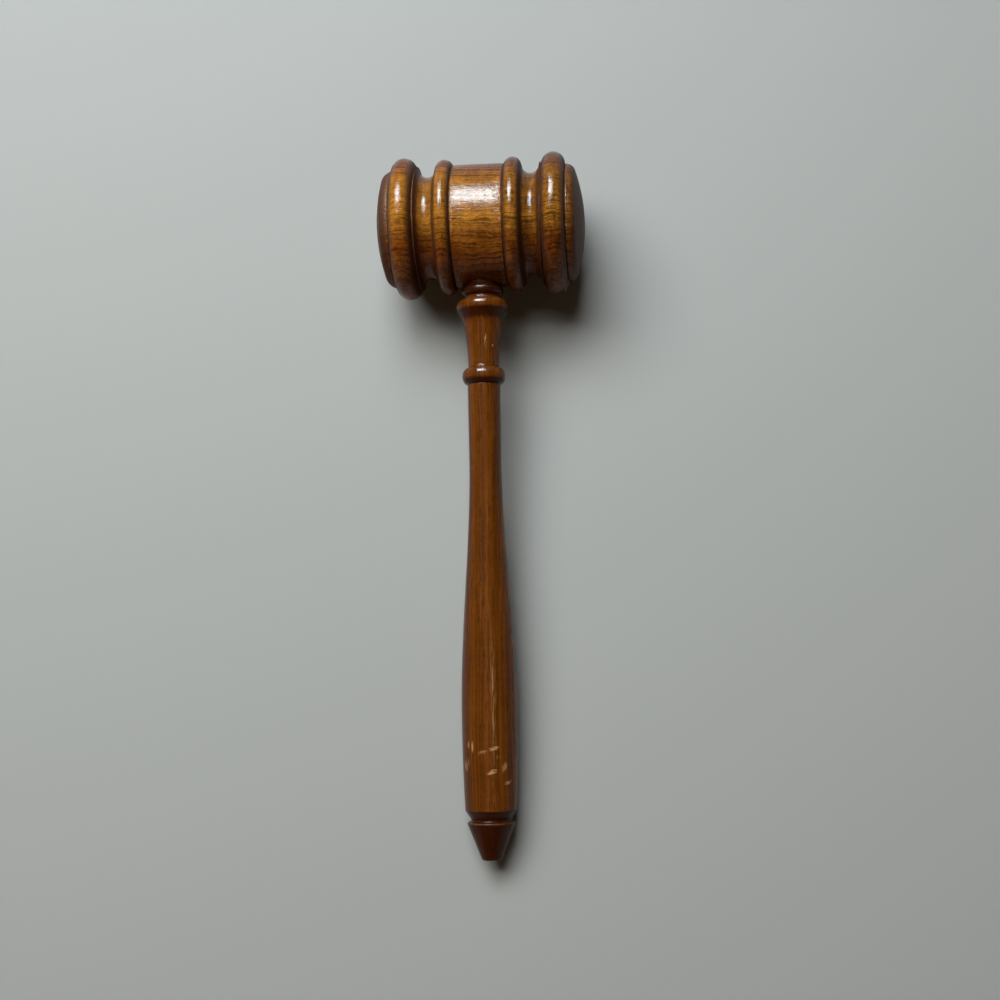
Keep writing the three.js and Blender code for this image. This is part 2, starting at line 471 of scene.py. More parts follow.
class Graph:
    """Adds nodes to a tree, and gives each input a value or links it to a socket."""

    NODE_STEP = 180
    MIX_INPUTS = (0, 6, 7)
    MIX_OUTPUT = 2

    def __init__(self, tree: bpy.types.NodeTree) -> None:
        """Keeps the tree."""
        self.tree = tree

    def feed(self, socket: Socket, value: Value) -> None:
        """Gives an input its value, or links it to the socket that gives it.

        Args:
            socket: The input.
            value: A value or a socket.
        """
        if isinstance(value, Socket):
            self.tree.links.new(value, socket)
        else:
            socket.default_value = value

    def node(
        self, kind: str, inputs: dict[str | int, Value] | None = None, **settings: object
    ) -> bpy.types.Node:
        """Adds a node.

        Args:
            kind: Type of the node.
            inputs: Values or sockets, by the name or the number of the input.
            settings: Settings of the node.

        Returns:
            The node.
        """
        node = self.tree.nodes.new(kind)
        node.location.x = self.NODE_STEP * len(self.tree.nodes)
        for name, setting in settings.items():
            setattr(node, name, setting)
        for name, value in (inputs or {}).items():
            self.feed(node.inputs[name], value)
        return node

    def given(self, name: str) -> Socket:
        """Gives one input of the tree itself."""
        sources = (node for node in self.tree.nodes if node.bl_idname == "NodeGroupInput")
        return next(sources).outputs[name]

    def math(self, operation: str, *values: Value, clamp: bool = False) -> Socket:
        """Adds a sum.

        Args:
            operation: Kind of sum.
            values: Its terms.
            clamp: Whether the result stays between 0 and 1.

        Returns:
            The result.
        """
        inputs = dict(enumerate(values))
        return self.node("ShaderNodeMath", inputs, operation=operation, use_clamp=clamp).outputs[0]

    def vector(self, operation: str, *values: Value) -> Socket:
        """Adds a sum of vectors.

        Args:
            operation: Kind of sum.
            values: Its terms.

        Returns:
            The result, a number where the sum gives one.
        """
        outputs = self.node("ShaderNodeVectorMath", dict(enumerate(values)), operation=operation).outputs
        return outputs["Value" if operation in ("LENGTH", "DOT_PRODUCT") else "Vector"]

    def scaled(self, vector: Value, factor: Value) -> Socket:
        """Gives a vector times a number."""
        inputs = {0: vector, "Scale": factor}
        return self.node("ShaderNodeVectorMath", inputs, operation="SCALE").outputs["Vector"]

    def rise(self, value: Value, low: Value, high: Value) -> Socket:
        """Gives a smooth rise from 0 at low to 1 at high, or a smooth fall where low is the larger."""
        inputs = {"Value": value, "From Min": low, "From Max": high}
        return self.node("ShaderNodeMapRange", inputs, interpolation_type="SMOOTHSTEP").outputs["Result"]

    def swing(self, value: Value, reach: Value) -> Socket:
        """Gives how far a pattern value from 0 to 1 swings either side of nothing, at a given reach."""
        return self.math("MULTIPLY", self.math("SUBTRACT", value, 0.5), reach)

    def tint(self, share: Value, first: Value, second: Value, blend: str = "MIX") -> Socket:
        """Mixes two colours.

        Args:
            share: Share of the second colour.
            first: First colour.
            second: Second colour.
            blend: How they mix.

        Returns:
            The mixed colour.
        """
        inputs = dict(zip(self.MIX_INPUTS, (share, first, second)))
        node = self.node("ShaderNodeMix", inputs, data_type="RGBA", blend_type=blend)
        return node.outputs[self.MIX_OUTPUT]

    def noise(
        self, vector: Value, long: float, wide: float, detail: float = 2, rough: float = 0.5, twist: float = 0
    ) -> Socket:
        """Adds a cloud pattern that is stretched along the grain.

        Args:
            vector: Place in the piece, in millimetres, with X along the grain.
            long: Length of its blots, in millimetres.
            wide: Width of its blots, in millimetres.
            detail: How many finer layers it has.
            rough: How strong they are.
            twist: How much it is twisted.

        Returns:
            A value from 0 to 1.
        """
        place = self.vector("DIVIDE", vector, (long, wide, wide))
        inputs = {"Vector": place, "Scale": 1, "Detail": detail, "Roughness": rough, "Distortion": twist}
        return self.node("ShaderNodeTexNoise", inputs).outputs["Fac"]


class Effect:
    """A shader node group that the finishes place, each with its own values."""

    title = ""
    takes: dict[str, str] = {}
    gives: dict[str, str] = {}

    def __init__(self) -> None:
        """Builds the group."""
        self.tree = bpy.data.node_groups.new(self.title, "ShaderNodeTree")
        for direction, sockets in (("INPUT", self.takes), ("OUTPUT", self.gives)):
            for name, kind in sockets.items():
                self.tree.interface.new_socket(name=name, in_out=direction, socket_type="NodeSocket" + kind)
        graph = Graph(self.tree)
        given = graph.node("NodeGroupInput").outputs
        results = self.wire(graph, {name: given[name] for name in self.takes})
        graph.node("NodeGroupOutput", results)

    def wire(self, graph: Graph, given: Sockets) -> Sockets:
        """Adds the nodes of the group.

        Args:
            graph: The group's tree.
            given: The group's inputs by name.

        Returns:
            The group's outputs by name.
        """
        raise NotImplementedError

    def put(self, graph: Graph, **inputs: Value) -> bpy.types.NodeOutputs:
        """Places the group in a material.

        Args:
            graph: The material's tree.
            inputs: Values of the group's inputs, with underscores for the spaces in their names.

        Returns:
            The group's outputs.
        """
        named = {name.replace("_", " "): value for name, value in inputs.items()}
        return graph.node("ShaderNodeGroup", named, node_tree=self.tree).outputs


class Wander(Effect):
    """How the grain wanders from its straight course: in long sways, in ripples and in fine tremors.

    Each kind of wave has the length and the width of its blots, in millimetres.
    """

    title = "Wandering grain"
    takes = {"Place": "Vector", "Sway": "Float", "Ripple": "Float", "Tremor": "Float"}
    gives = {"Course": "Vector"}
    WAVES = {"Sway": (46, 20), "Ripple": (4.6, 7), "Tremor": (1.7, 3)}
    MEAN = (0.5, 0.5, 0.5)

    def wire(self, graph: Graph, given: Sockets) -> Sockets:
        """Adds the nodes of the group.

        Args:
            graph: The group's tree.
            given: The group's inputs by name.

        Returns:
            The place along and across the course of the grain.
        """
        course = given["Place"]
        for name, (long, wide) in self.WAVES.items():
            place = graph.vector("DIVIDE", given["Place"], (long, wide, wide))
            clouds = graph.node("ShaderNodeTexNoise", {"Vector": place, "Scale": 1, "Detail": 1})
            shift = graph.vector("SUBTRACT", clouds.outputs["Color"], self.MEAN)
            shift = graph.vector("MULTIPLY", shift, ACROSS_THE_GRAIN)
            course = graph.vector("ADD", course, graph.scaled(shift, given[name]))
        return {"Course": course}


class GrowthRings(Effect):
    """Yearly rings round a pith that runs along the grain, with a dark late line at the end of each year.

    The late line starts and stops at shares of a year. Its strengths are the part left to chance and the
    least one.
    """

    title = "Growth rings"
    takes = {"Course": "Vector", "Pith": "Vector", "Ring Width": "Float"}
    gives = {"Late": "Float", "Year": "Float", "Depth": "Float"}
    SEASON_SCALE = 0.7
    SEASON_SWING = 2.4
    LINE_START = (0.4, 0.72)
    LINE_STOP = (1, 0.87)
    LINE_STRENGTHS = (0.6, 0.4)
    FADING_CLOUDS = (7, 2.2, 2, 0.6)
    FADING_EDGE = (0.28, 0.55)

    def wire(self, graph: Graph, given: Sockets) -> Sockets:
        """Adds the nodes of the group.

        Args:
            graph: The group's tree.
            given: The group's inputs by name.

        Returns:
            The late line and the tone of the year, both from 0 to 1, and the distance from the pith.
        """
        away = graph.vector("SUBTRACT", given["Course"], given["Pith"])
        depth = graph.vector("LENGTH", graph.vector("MULTIPLY", away, ACROSS_THE_GRAIN))
        years = graph.math("DIVIDE", depth, given["Ring Width"])
        inputs = {"W": years, "Scale": self.SEASON_SCALE, "Detail": 1}
        seasons = graph.node("ShaderNodeTexNoise", inputs, noise_dimensions="1D").outputs["Fac"]
        years = graph.math("ADD", years, graph.swing(seasons, self.SEASON_SWING))
        part = graph.math("FRACT", years)
        number = {"W": graph.math("FLOOR", years)}
        chance = graph.node("ShaderNodeTexWhiteNoise", number, noise_dimensions="1D").outputs["Value"]
        line = graph.math("MULTIPLY", graph.rise(part, *self.LINE_START), graph.rise(part, *self.LINE_STOP))
        fading = graph.rise(graph.noise(given["Course"], *self.FADING_CLOUDS), *self.FADING_EDGE)
        strength = graph.math("MULTIPLY_ADD", chance, *self.LINE_STRENGTHS)
        strength = graph.math("MULTIPLY", strength, fading)
        return {"Late": graph.math("MULTIPLY", line, strength), "Year": chance, "Depth": depth}


class Fibre(Effect):
    """Fine fibres, and open pores that show as short dark streaks, or as dots on end grain."""

    title = "Fibre and pores"
    takes = {
        "Course": "Vector", "Fibre Length": "Float", "Fibre Width": "Float",
        "Pore Length": "Float", "Pore Spacing": "Float", "Pore Share": "Float",
    }
    gives = {"Pores": "Float", "Fibre": "Float"}
    PORE_EDGE = (0.34, 0.14)
    SHARE_EDGE = 0.2
    STRANDS = {"Scale": 1, "Detail": 3, "Roughness": 0.6}

    def wire(self, graph: Graph, given: Sockets) -> Sockets:
        """Adds the nodes of the group.

        Args:
            graph: The group's tree.
            given: The group's inputs by name.

        Returns:
            The pores and the fibres, both from 0 to 1.
        """
        course = given["Course"]
        streaks = self._stretched(graph, course, given["Pore Length"], given["Pore Spacing"])
        cells = graph.node("ShaderNodeTexVoronoi", {"Vector": streaks, "Scale": 1})
        chance = graph.node("ShaderNodeSeparateColor", {"Color": cells.outputs["Color"]}).outputs["Red"]
        least = graph.math("SUBTRACT", given["Pore Share"], self.SHARE_EDGE)
        open_share = graph.rise(chance, given["Pore Share"], least)
        pores = graph.math("MULTIPLY", graph.rise(cells.outputs["Distance"], *self.PORE_EDGE), open_share)
        strands = self._stretched(graph, course, given["Fibre Length"], given["Fibre Width"])
        fibre = graph.node("ShaderNodeTexNoise", {"Vector": strands, **self.STRANDS})
        return {"Pores": pores, "Fibre": fibre.outputs["Fac"]}

    @staticmethod
    def _stretched(graph: Graph, course: Value, long: Value, wide: Value) -> Socket:
        """Gives the course divided by the length and the width of the cells of a pattern."""
        cell = graph.node("ShaderNodeCombineXYZ", {"X": long, "Y": wide, "Z": wide}).outputs["Vector"]
        return graph.vector("DIVIDE", course, cell)


class Curl(Effect):
    """Figure of the wood: bands across the grain, a fine mottle, and wide clouds of dark and light wood.

    Each pattern has the length and width of its blots, its finer layers, their strength and its twist.
    """

    title = "Curl"
    takes = {"Place": "Vector"}
    gives = {"Bands": "Float", "Mottle": "Float", "Clouds": "Float"}
    PATTERNS = {
        "Bands": (2.2, 6, 1, 0.5, 0.6),
        "Mottle": (1.1, 0.9, 2, 0.65, 0.7),
        "Clouds": (22, 12, 2, 0.5, 0.3),
    }

    def wire(self, graph: Graph, given: Sockets) -> Sockets:
        """Adds the nodes of the group.

        Args:
            graph: The group's tree.
            given: The group's inputs by name.

        Returns:
            The bands, the mottle and the clouds, all from 0 to 1.
        """
        return {name: graph.noise(given["Place"], *values) for name, values in self.PATTERNS.items()}


class StainShadeAndWear(Effect):
    """Darkening by stain that end grain and creases drink up, with painted shade in the same creases, in
    hollows and on faces turned from the light, and bare wood where lacquer is rubbed off sharp edges.
    """

    title = "Stain and wear"
    takes = {
        "Colour": "Color", "Stained": "Color", "Bare": "Color",
        "End Grain": "Float", "Crease": "Float", "Hollow": "Float", "Ridge": "Float", "Breaks": "Float",
    }
    gives = {"Colour": "Color", "Worn": "Float"}
    HOLLOW_SHARE = 0.7
    POOLED_STAIN_AND_SHADE_SHARE = 0.7
    WORN_EDGE = (0.32, 0.72)

    def wire(self, graph: Graph, given: Sockets) -> Sockets:
        """Adds the nodes of the group.

        Args:
            graph: The group's tree.
            given: The group's inputs by name.

        Returns:
            The colour, and how worn the edge is.
        """
        # Painted shade: creases and hollows darken to the stain colour, partly as stain that gathers there
        # and partly as the shade that falls in them.
        hollow = graph.math("MULTIPLY", given["Hollow"], self.HOLLOW_SHARE)
        pooled_stain_and_shade = graph.math("MULTIPLY", graph.math("MAXIMUM", given["Crease"], hollow), self.POOLED_STAIN_AND_SHADE_SHARE)
        stain_and_shade_share = graph.math("MAXIMUM", given["End Grain"], pooled_stain_and_shade)
        deep = graph.tint(stain_and_shade_share, given["Colour"], given["Stained"])
        worn = graph.math("MULTIPLY", given["Ridge"], graph.rise(given["Breaks"], *self.WORN_EDGE))
        return {"Colour": graph.tint(worn, deep, given["Bare"]), "Worn": worn}


class Lacquer(Effect):
    """Gloss lacquer that sinks into the pores, with nibs of dust beside the creases and a slow unevenness."""

    title = "Lacquer"
    takes = {
        "Place": "Vector", "Pores": "Float", "Fibre": "Float", "Late": "Float", "Dusty": "Float",
        "Dull": "Float", "Worn": "Float", "Gloss Roughness": "Float", "Grain Depth": "Float", "Peel": "Float",
        "Nib Height": "Float",
    }
    gives = {"Roughness": "Float", "Height": "Float"}
    HAZE = (9, 9, 3, 0.6)
    HAZE_SWING = 0.1
    WORN_ROUGHNESS = 0.35
    NIBS = (0.85, 0.85, 1)
    NIB_EDGE = (0.5, 0.7)
    WIDE_PEEL = (2.6, 2.1, 1)
    FINE_PEEL = (0.55, 0.55, 1)
    FINE_PEEL_SHARE = 0.8

    def wire(self, graph: Graph, given: Sockets) -> Sockets:
        """Adds the nodes of the group.

        Args:
            graph: The group's tree.
            given: The group's inputs by name.

        Returns:
            The roughness, and the height for a bump in hundredths of a millimetre.
        """
        place = given["Place"]
        haze = graph.swing(graph.noise(place, *self.HAZE), self.HAZE_SWING)
        rough = graph.math("ADD", given["Gloss Roughness"], haze)
        rough = graph.math("ADD", given["Dull"], rough)
        rough = graph.math("MULTIPLY_ADD", given["Worn"], self.WORN_ROUGHNESS, rough, clamp=True)
        grain = graph.math("SUBTRACT", graph.math("SUBTRACT", given["Fibre"], given["Pores"]), given["Late"])
        height = graph.math("MULTIPLY", grain, given["Grain Depth"])
        nibs = graph.rise(graph.noise(place, *self.NIBS), *self.NIB_EDGE)
        nibs = graph.math("MULTIPLY", nibs, given["Dusty"])
        height = graph.math("MULTIPLY_ADD", nibs, given["Nib Height"], height)
        fine, wide = graph.noise(place, *self.FINE_PEEL), graph.noise(place, *self.WIDE_PEEL)
        pebbles = graph.math("MULTIPLY_ADD", fine, self.FINE_PEEL_SHARE, wide)
        return {"Roughness": rough, "Height": graph.math("MULTIPLY_ADD", pebbles, given["Peel"], height)}


class RubAndSheen(Effect):
    """One rubbed place on a round piece, or one painted highlight streak that stands in for a reflection: a
    patch of broken strokes, somewhere along it and round it.
    """

    title = "RubAndSheen"
    takes = {
        "Place": "Vector", "Middle": "Vector", "Half Length": "Float", "Half Width": "Float",
        "Lean": "Float", "Strength": "Float", "Breaks": "Float",
    }
    gives = {"Mark": "Float"}
    RAGGED_SWING = -1.8
    PATCH_EDGE = (1.1, 0.3)
    STROKE_EDGE = (0.34, 0.58)

    def wire(self, graph: Graph, given: Sockets) -> Sockets:
        """Adds the nodes of the group.

        Args:
            graph: The group's tree.
            given: The group's inputs by name.

        Returns:
            The mark, from 0 to 1.
        """
        away = graph.vector("SUBTRACT", given["Place"], given["Middle"])
        offset = graph.node("ShaderNodeSeparateXYZ", {"Vector": away}).outputs
        lean = graph.math("MULTIPLY", given["Lean"], -1)
        along = graph.math("MULTIPLY_ADD", offset["Y"], lean, offset["X"])
        shares = {
            "X": graph.math("DIVIDE", along, given["Half Length"]),
            "Y": graph.math("DIVIDE", offset["Y"], given["Half Width"]),
            "Z": graph.math("DIVIDE", offset["Z"], given["Half Width"]),
        }
        reach = graph.vector("LENGTH", graph.node("ShaderNodeCombineXYZ", shares).outputs["Vector"])
        ragged = graph.math("ADD", reach, graph.swing(given["Breaks"], self.RAGGED_SWING))
        patch = graph.rise(ragged, *self.PATCH_EDGE)
        broken = graph.rise(given["Breaks"], *self.STROKE_EDGE)
        return {"Mark": graph.math("MULTIPLY", graph.math("MULTIPLY", patch, broken), given["Strength"])}


@dataclass(frozen=True)
class ScuffAndSheen:
    """A rubbed place on the handle as it shows in the photograph, or a painted highlight: a light streak that
    stands in for a reflection.

    The place along is measured from the axis of the head, and the angle round the handle from its top,
    positive to the east. Lengths are in millimetres, the angle is in degrees, and the lean is the shift along
    the piece for each step round it.
    """

    along: float
    around: float
    half_length: float
    half_width: float
    lean: float
    strength: float
    radius: float = 10.2

    @property
    def middle(self) -> Vector:
        """Middle of the mark, in the piece's own frame."""
        angle = math.radians(self.around)
        return Vector((self.along, self.radius * math.sin(angle), self.radius * math.cos(angle)))

    @property
    def runs_along(self) -> bool:
        """Whether its strokes run along the piece."""
        return self.half_length > self.half_width


class Figure(Enum):
    """Figure of the wood: how far its grain sways, ripples and trembles, and how strong its markings are."""

    CURLY = (5.0, 1.5, 0.5, 1.0, 1.7)
    STRAIGHT = (2.0, 0.3, 0.1, 0.25, 0.6)

    def __init__(self, sway: float, ripple: float, tremor: float, bands: float, mottle: float) -> None:
        """Keeps the values of the figure.

        Args:
            sway: Reach of the long sways, in millimetres.
            ripple: Reach of the ripples, in millimetres.
            tremor: Reach of the tremors, in millimetres.
            bands: Strength of the bands across the grain.
            mottle: Strength of the fine mottle.
        """
        self.sway = sway
        self.ripple = ripple
        self.tremor = tremor
        self.bands = bands
        self.mottle = mottle


@dataclass(frozen=True)
class Wood:
    """Lacquered wood: its colours, its figure and its gloss. Lengths are in millimetres.

    The surface darkens where it slants to an end of the piece, towards both ends or only towards the far one,
    and in zones near its ends: partly stain that end grain drinks, and partly painted shade on faces turned
    from the light, under the collar of the handle and where the head shades it.
    """

    CLOUD_SWING = 0.9
    YEAR_SWING = 0.4
    PORE_DARKNESS = 0.55
    BREAKS = (1.6, 1.6, 3, 0.65)
    STROKES_ALONG = (5.5, 0.5, 2, 0.6)
    STROKES_ROUND = (0.42, 1.9, 2, 0.6)
    HEIGHT_UNIT = 0.01

    name: str
    figure: Figure
    early_and_lit: Colour
    heart_and_shade: Colour
    late: Colour
    pore: Colour
    stain_and_shade_colour: Colour
    bare: Colour
    pith: tuple[float, float, float]
    ring_width: float
    pale_depth: float
    pale_reach: tuple[float, float]
    gloss_roughness: float
    grain_depth: float
    peel: float
    end_slants: tuple[float, float]
    soak_and_shade_middle: float
    soak_and_shade_reach: tuple[float, float]
    end_stain_and_shade: float
    nib_height: float = 15.0
    both_ends: bool = True
    end_dulling: float = 0.1
    drift: float = 0.0
    ring_strength: float = 0.9
    fibre_length: float = 16.0
    fibre_width: float = 0.95
    fibre_contrast: float = 1.5
    least_level: float = 0.15
    pore_length: float = 3.2
    pore_spacing: float = 0.62
    pore_share: float = 0.7
    lacquer_ior: float = 1.27
    scuffs_and_sheen: tuple[ScuffAndSheen, ...] = ()
    # Colour of the rubbed places, and of the painted highlight streaks.
    scuff_and_sheen_colour: Colour = paint(214, 164, 108)

    def material(self, place: Place, effects: dict[type, Effect]) -> bpy.types.Material:
        """Builds the material for a piece.

        Args:
            place: Where the piece lies, with its axis along the grain.
            effects: The node groups by class.

        Returns:
            The material.
        """
        material = bpy.data.materials.new(self.name)
        material.use_nodes = True
        material.node_tree.nodes.clear()
        graph = Graph(material.node_tree)
        source = graph.node("ShaderNodeTexCoord")
        inputs = {"Vector": source.outputs["Object"], "Location": place.centre, "Rotation": place.turn}
        inputs["Scale"] = (MM, MM, MM)
        spot = graph.node("ShaderNodeMapping", inputs, vector_type="TEXTURE").outputs["Vector"]
        along = graph.node("ShaderNodeSeparateXYZ", {"Vector": spot}).outputs["X"]
        course = effects[Wander].put(
            graph, Place=spot, Sway=self.figure.sway, Ripple=self.figure.ripple, Tremor=self.figure.tremor
        )["Course"]
        rings = effects[GrowthRings].put(graph, Course=course, Pith=self.pith, Ring_Width=self.ring_width)
        fibre = effects[Fibre].put(
            graph, Course=course, Fibre_Length=self.fibre_length, Fibre_Width=self.fibre_width,
            Pore_Length=self.pore_length, Pore_Spacing=self.pore_spacing, Pore_Share=self.pore_share,
        )
        curl = effects[Curl].put(graph, Place=spot)
        colour = self._body_colour(graph, along, rings, fibre, curl)

        # Painted shade in part: the slant and zone masks darken end grain as stain, and also darken faces
        # turned from the light, the handle under its collar and beside the head.
        slant = graph.vector("DOT_PRODUCT", source.outputs["Normal"], tuple(place.axis))
        if self.both_ends:
            slant = graph.math("ABSOLUTE", slant)
        away = graph.math("ABSOLUTE", graph.math("SUBTRACT", along, self.soak_and_shade_middle))
        ends = graph.math("MAXIMUM", graph.rise(slant, *self.end_slants), graph.rise(away, *self.soak_and_shade_reach))
        ends = graph.math("MULTIPLY", ends, self.end_stain_and_shade)
        traits = {
            name: graph.node("ShaderNodeAttribute", attribute_name=name).outputs["Fac"]
            for name in Lathe.TRAITS
        }
        breaks = graph.noise(spot, *self.BREAKS)
        stain = effects[StainShadeAndWear].put(
            graph, Colour=colour, Stained=self.stain_and_shade_colour, Bare=self.bare, End_Grain=ends,
            Crease=traits["crease"], Hollow=traits["hollow"], Ridge=traits["ridge"], Breaks=breaks,
        )
        colour, worn = stain["Colour"], stain["Worn"]
        # Rubbed places lighten the colour here, and so do painted highlight streaks that stand in for
        # reflections on the grip and the neck.
        if self.scuffs_and_sheen:
            marks = self._scuff_and_sheen_marks(graph, spot, effects[RubAndSheen])
            colour = graph.tint(marks, colour, self.scuff_and_sheen_colour)
            worn = graph.math("MAXIMUM", worn, marks)
        lacquer = effects[Lacquer].put(
            graph, Place=spot, Pores=fibre["Pores"], Fibre=fibre["Fibre"], Late=rings["Late"],
            Dusty=traits["dusty"], Dull=graph.math("MULTIPLY", ends, self.end_dulling), Worn=worn,
            Gloss_Roughness=self.gloss_roughness, Grain_Depth=self.grain_depth, Peel=self.peel,
            Nib_Height=self.nib_height,
        )
        relief = {"Height": lacquer["Height"], "Distance": self.HEIGHT_UNIT * MM, "Strength": 1}
        bump = graph.node("ShaderNodeBump", relief)
        shader = graph.node(
            "ShaderNodeBsdfPrincipled",
            {
                "Base Color": colour, "Roughness": lacquer["Roughness"], "Normal": bump.outputs["Normal"],
                "IOR": self.lacquer_ior,
            },
        )
        graph.node("ShaderNodeOutputMaterial", {"Surface": shader.outputs["BSDF"]})
        return material

    def _body_colour(
        self, graph: Graph, along: Value, rings: bpy.types.NodeOutputs, fibre: bpy.types.NodeOutputs,
        curl: bpy.types.NodeOutputs,
    ) -> Socket:
        """Gives the colour of the wood before stain and wear: its figure and tones, and on the head a pale
        band along the lit top with darker heartwood colour on the shaded sides, which is painted light.

        Args:
            graph: The material's tree.
            along: Place along the piece.
            rings: Outputs of the growth rings.
            fibre: Outputs of the fibre.
            curl: Outputs of the curl.

        Returns:
            The colour.
        """
        # Painted light on the head: the pale band lies along the lit top, and the heartwood colour beyond it
        # stands in for shade on the north and south sides.
        away = graph.math("ABSOLUTE", graph.math("SUBTRACT", rings["Depth"], self.pale_depth))
        pale = graph.rise(away, self.pale_reach[1], self.pale_reach[0])
        pale = graph.math("ADD", pale, graph.swing(curl["Clouds"], self.CLOUD_SWING), clamp=True)
        colour = graph.tint(pale, self.heart_and_shade, self.early_and_lit)
        colour = graph.tint(graph.math("MULTIPLY", rings["Late"], self.ring_strength), colour, self.late)
        level = graph.swing(fibre["Fibre"], self.fibre_contrast)
        for pattern, reach in (
            (curl["Bands"], self.figure.bands),
            (curl["Mottle"], self.figure.mottle),
            (rings["Year"], self.YEAR_SWING),
        ):
            level = graph.math("ADD", level, graph.swing(pattern, reach))
        level = graph.math("MULTIPLY_ADD", along, -self.drift, level)
        level = graph.math("MAXIMUM", graph.math("ADD", level, 1), self.least_level)
        shade = graph.node("ShaderNodeCombineColor", {0: level, 1: level, 2: level}).outputs["Color"]
        colour = graph.tint(1, colour, shade, "MULTIPLY")
        return graph.tint(graph.math("MULTIPLY", fibre["Pores"], self.PORE_DARKNESS), colour, self.pore)

    def _scuff_and_sheen_marks(self, graph: Graph, spot: Value, rub_and_sheen: Effect) -> Socket:
        """Gives all the rubbed places and the painted highlight streaks together.

        Args:
            graph: The material's tree.
            spot: Place in the piece.
            rub_and_sheen: The node group of one mark, a rubbed place or a painted highlight streak.

        Returns:
            The marks, from 0 to 1.
        """
        patterns = {True: self.STROKES_ALONG, False: self.STROKES_ROUND}
        strokes = {along: graph.noise(spot, *values) for along, values in patterns.items()}
        marks: Value = 0.0
        for each_mark in self.scuffs_and_sheen:
            mark = rub_and_sheen.put(
                graph, Place=spot, Middle=each_mark.middle, Half_Length=each_mark.half_length,
                Half_Width=each_mark.half_width, Lean=each_mark.lean, Strength=each_mark.strength,
                Breaks=strokes[each_mark.runs_along],
            )["Mark"]
            marks = graph.math("MAXIMUM", marks, mark)
        return marks


@dataclass(frozen=True)
class Joint:
    """Glued joint: the tenon of the handle in the bore of the head. Lengths are in millimetres."""

    tenon_radius: float = 5.5
    tenon_length: float = 26.0
    tenon_chamfer: float = 1.0
    shoulder_width: float = 1.5
    seat_depth: float = 1.5
    bore_end_room: float = 2.0
    glue_gap: float = 0.3
    seat_gap: float = 0.3
    bead_gap: float = 0.3
    cut_overrun: float = 4.0

    @property
    def shoulder_radius(self) -> float:
        """Radius of the shoulder of the tenon."""
        return self.tenon_radius + self.shoulder_width

    def tenon_outline(self, barrel: float) -> Outline:
        """Gives the outline of the tenon up to the foot of the shoulder bead.

        Args:
            barrel: Radius of the barrel of the head.

        Returns:
            The outline, measured from the axis of the head.
        """
        shoulder = barrel - self.seat_depth + self.seat_gap
        end = shoulder - self.tenon_length
        outline = Outline().to(end, 0).to(end, self.tenon_radius - self.tenon_chamfer)
        outline.to(end + self.tenon_chamfer, self.tenon_radius).to(shoulder, self.tenon_radius)
        return outline.to(shoulder, self.shoulder_radius).to(barrel + self.bead_gap, self.shoulder_radius)

    def bore_outline(self, barrel: float, mouth: float) -> Outline:
        """Gives the outline of the tool that bores the head.

        Args:
            barrel: Radius of the barrel of the head.
            mouth: Place where the tool enters the head.

        Returns:
            The outline, measured from the axis of the head.
        """
        seat = barrel - self.seat_depth
        end = seat + self.seat_gap - self.tenon_length - self.bore_end_room
        outline = Outline().to(end, 0).to(end, self.tenon_radius + self.glue_gap)
        outline.to(seat, self.tenon_radius + self.glue_gap).to(seat, self.shoulder_radius + self.glue_gap)
        outline.to(mouth + self.cut_overrun, self.shoulder_radius + self.glue_gap)
        return outline.to(mouth + self.cut_overrun, 0)


